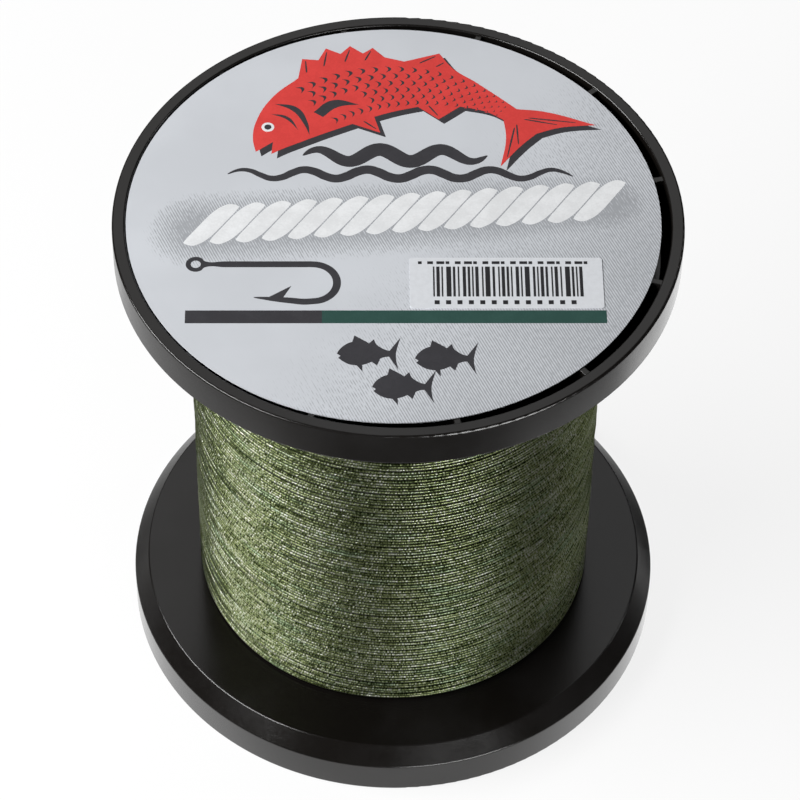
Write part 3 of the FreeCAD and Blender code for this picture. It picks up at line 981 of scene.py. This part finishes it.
class SPOOL_OT_finish_sticker(bpy.types.Operator):
    """Gives the code sticker its paper and prints plain bars on it that stand for no number"""

    bl_idname = "spool.finish_sticker"
    bl_label = "Finish code sticker"

    def execute(self, context):
        settings = context.scene.spool_label
        dress(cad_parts["code_sticker"], paper_material(settings))
        black = opaque(settings.charcoal, factor=0.5)
        black_ink = ink_material("black ink", black, roughness=0.5)
        left, bottom = STICKER_LOW[0] / MM, STICKER_LOW[1] / MM
        right, top = STICKER_HIGH[0] / MM, STICKER_HIGH[1] / MM
        bars = []
        x = left + BARS_LEFT
        while x < right - BARS_RIGHT:
            width = BAR_WIDTHS[len(bars) % len(BAR_WIDTHS)]
            gap = BAR_GAPS[len(bars) % len(BAR_GAPS)]
            bars.append(rectangle(x, bottom + BARS_LOW, x + width, top - BARS_HIGH))
            x += width + gap
        dashes = []
        for step in range(UPPER_DASHES):
            start = left + UPPER_START + step * UPPER_STEP
            end = start + UPPER_SHORT + UPPER_LONGER * (step % 3)
            dashes.append(rectangle(start, top - UPPER_LOW, end, top - UPPER_HIGH))
        for step in range(LOWER_DASHES):
            start = left + LOWER_START + step * LOWER_STEP
            end = start + LOWER_LENGTH
            dashes.append(rectangle(start, bottom + LOWER_LOW, end, bottom + LOWER_HIGH))
        level = STICKER_HIGH[2] - PRINT_SINK
        printed_shape("sticker_bars", bars, settings.ink_height, level, black_ink)
        printed_shape("sticker_dashes", dashes, settings.ink_height, level, black_ink)
        return {"FINISHED"}


CAMERA_PLACE = (-10.452 * MM, -488.845 * MM, 638.844 * MM)
CAMERA_AIM = (0.897 * MM, -0.021 * MM, 58.853 * MM)
CAMERA_ROLL = math.radians(0.985)
SENSOR_WIDTH = 36.0
WHITE = (1.0, 1.0, 1.0, 1.0)

# Each lamp: its name, place, the point it faces, width and height in metres, and power setting.
LAMPS = (
    ("key", (-0.838, -0.225, 0.69), (0, 0, 0.06), (1.15, 0.25), "key_power"),
    ("front", (0.45, -1.12, 0.16), (0, 0, 0.06), (0.75, 0.25), "front_power"),
    ("side", (0.88, 0.25, 0.60), (0, 0, 0.06), (0.15, 0.15), "side_power"),
    ("back", (-0.10, 0.75, 0.95), (0, 0, 0.1), (0.9, 0.9), "back_power"),
)

# Each pair says where a part of the floor starts and ends, in metres: from the spool's axis, or
# from the middle towards the back for FRONT and BACK, and towards the right for RIGHT.
FLOOR_HALF = 3.0
FLOOR_FADE = (0.060, 0.085)
FLOOR_GLOW = 0.84
RING_FRONT = (-0.128, -0.090)
RING_START = (0.102, 0.113)
RING_END = (0.152, 0.134)
FOOT_END = (0.070, 0.058)
FOOT_FRONT = (-0.060, -0.040)
FOOT_SIDE = 0.42
FOOT_GLOW = 0.35
PATCH_RIGHT = (0.05, 0.10)
PATCH_BACK = (-0.03, 0.012)
PATCH_GLOW = 0.9


def add_lamp(name, place, aim, size, power):
    lamp = bpy.data.lights.new(name, "AREA")
    lamp.shape = "RECTANGLE"
    lamp.size, lamp.size_y = size
    lamp.energy = power
    holder = bpy.data.objects.new(name, lamp)
    bpy.context.scene.collection.objects.link(holder)
    holder.location = place
    holder.rotation_mode = "QUATERNION"
    holder.rotation_quaternion = (Vector(aim) - Vector(place)).to_track_quat("-Z", "Y")


def floor_material(settings):
    """Pale floor. The camera sees mostly its even glow, with the spool's soft shadow in it. The
    spool mirrors the glow close to its foot and of a ring further out, stronger beside and behind
    it. Every other ray meets paint that darkens away from the foot, so that the floor throws
    little light back up."""
    finish = Finish("pale floor")
    place = finish.place()
    right, back, _ = finish.split(place)
    reach = finish.add("ShaderNodeVectorMath", {0: place}, operation="LENGTH").outputs[1]
    rays = finish.add("ShaderNodeLightPath").outputs
    mirror = finish.math("MAXIMUM", rays["Is Glossy Ray"], rays["Is Transmission Ray"])

    grain = finish.noise(place, scale=60.0, detail=3.0, roughness=0.5)
    unseen = finish.minus(1.0, rays["Is Camera Ray"])
    away = finish.times(finish.rise(reach, *FLOOR_FADE), unseen)
    paint = finish.add("ShaderNodeBsdfPrincipled", {
        "Base Color": finish.blend(
            away, opaque(settings.floor_colour), opaque(settings.floor_far),
        ),
        "Roughness": finish.between(grain, start=0.55, end=0.7),
    })

    ring = finish.times(finish.rise(reach, *RING_START), finish.rise(reach, *RING_END))
    ring = finish.times(ring, finish.rise(back, *RING_FRONT))
    foot = finish.rise(reach, *FOOT_END)
    beside = finish.times(foot, finish.rise(back, *FOOT_FRONT))
    foot = finish.math("MULTIPLY_ADD", foot, 1 - FOOT_SIDE, finish.times(beside, FOOT_SIDE))
    patch = finish.times(finish.rise(right, *PATCH_RIGHT), finish.rise(back, *PATCH_BACK))
    extra = finish.math("MULTIPLY_ADD", patch, PATCH_GLOW, finish.times(beside, FOOT_GLOW))
    strength = finish.math("MULTIPLY_ADD", extra, mirror, 1.0)
    glow = finish.add("ShaderNodeEmission", {"Color": WHITE, "Strength": strength})

    mirrored = finish.times(finish.math("MULTIPLY_ADD", ring, FLOOR_GLOW, foot), mirror)
    watched = finish.times(rays["Is Camera Ray"], FLOOR_GLOW)
    seen = finish.math("MAXIMUM", watched, mirrored)
    sockets = {0: seen, 1: paint.outputs[0], 2: glow.outputs[0]}
    return finish.output(finish.add("ShaderNodeMixShader", sockets))


class SPOOL_OT_set_studio(bpy.types.Operator):
    """Sets the pale floor, the soft lamps, the room's light and the camera"""

    bl_idname = "spool.set_studio"
    bl_label = "Set studio"

    def execute(self, context):
        settings = context.scene.spool_studio
        mesh = bpy.data.meshes.new("floor")
        corners = [(-1, -1), (1, -1), (1, 1), (-1, 1)]
        points = [(x * FLOOR_HALF, y * FLOOR_HALF, 0) for x, y in corners]
        mesh.from_pydata(points, [], [(0, 1, 2, 3)])
        floor = bpy.data.objects.new("floor", mesh)
        context.scene.collection.objects.link(floor)
        dress(floor, floor_material(settings))

        world = bpy.data.worlds.new("studio")
        world.use_nodes = True
        sky = world.node_tree.nodes["Background"]
        sky.inputs["Color"].default_value = WHITE
        sky.inputs["Strength"].default_value = settings.room_level
        context.scene.world = world

        for name, place, aim, size, power in LAMPS:
            add_lamp(name, place, aim, size, getattr(settings, power))

        camera = bpy.data.cameras.new("camera")
        camera.lens = settings.lens
        camera.sensor_width = SENSOR_WIDTH
        holder = bpy.data.objects.new("camera", camera)
        context.scene.collection.objects.link(holder)
        holder.location = CAMERA_PLACE
        holder.rotation_mode = "QUATERNION"
        look = (Vector(CAMERA_AIM) - Vector(CAMERA_PLACE)).to_track_quat("-Z", "Y")
        holder.rotation_quaternion = look @ Quaternion((0, 0, 1), CAMERA_ROLL)
        context.scene.camera = holder
        context.scene.view_settings.view_transform = "Standard"
        return {"FINISHED"}


OPERATORS = (
    SPOOL_OT_finish_flanges,
    SPOOL_OT_finish_barrel,
    SPOOL_OT_wind_line,
    SPOOL_OT_print_label,
    SPOOL_OT_finish_sticker,
    SPOOL_OT_set_studio,
)
SETTINGS = {
    "spool_plastic": MouldedPlastic,
    "spool_line": WoundLine,
    "spool_label": PrintedLabel,
    "spool_studio": SpoolStudio,
}


class SPOOL_PT_sidebar(bpy.types.Panel):
    """Lists the steps that finish the spool and their settings"""

    bl_idname = "SPOOL_PT_sidebar"
    bl_label = "Fishing Line Spool"
    bl_space_type = "VIEW_3D"
    bl_region_type = "UI"
    bl_category = "Spool"

    def draw(self, context):
        column = self.layout.column()
        for operator in OPERATORS:
            column.operator(operator.bl_idname)
        for name in SETTINGS:
            settings = getattr(context.scene, name)
            box = self.layout.box()
            for prop in settings.bl_rna.properties:
                if prop.identifier not in ("rna_type", "name"):
                    box.prop(settings, prop.identifier)


def register():
    for group in SETTINGS.values():
        bpy.utils.register_class(group)
    for operator in OPERATORS:
        bpy.utils.register_class(operator)
    bpy.utils.register_class(SPOOL_PT_sidebar)
    for name, group in SETTINGS.items():
        setattr(bpy.types.Scene, name, PointerProperty(type=group))


def unregister():
    for name in SETTINGS:
        delattr(bpy.types.Scene, name)
    bpy.utils.unregister_class(SPOOL_PT_sidebar)
    for operator in reversed(OPERATORS):
        bpy.utils.unregister_class(operator)
    for group in SETTINGS.values():
        bpy.utils.unregister_class(group)


def main():
    register()
    bpy.ops.spool.finish_flanges()
    bpy.ops.spool.finish_barrel()
    bpy.ops.spool.wind_line()
    bpy.ops.spool.print_label()
    bpy.ops.spool.finish_sticker()
    bpy.ops.spool.set_studio()


if __name__ == "__main__":
    main()
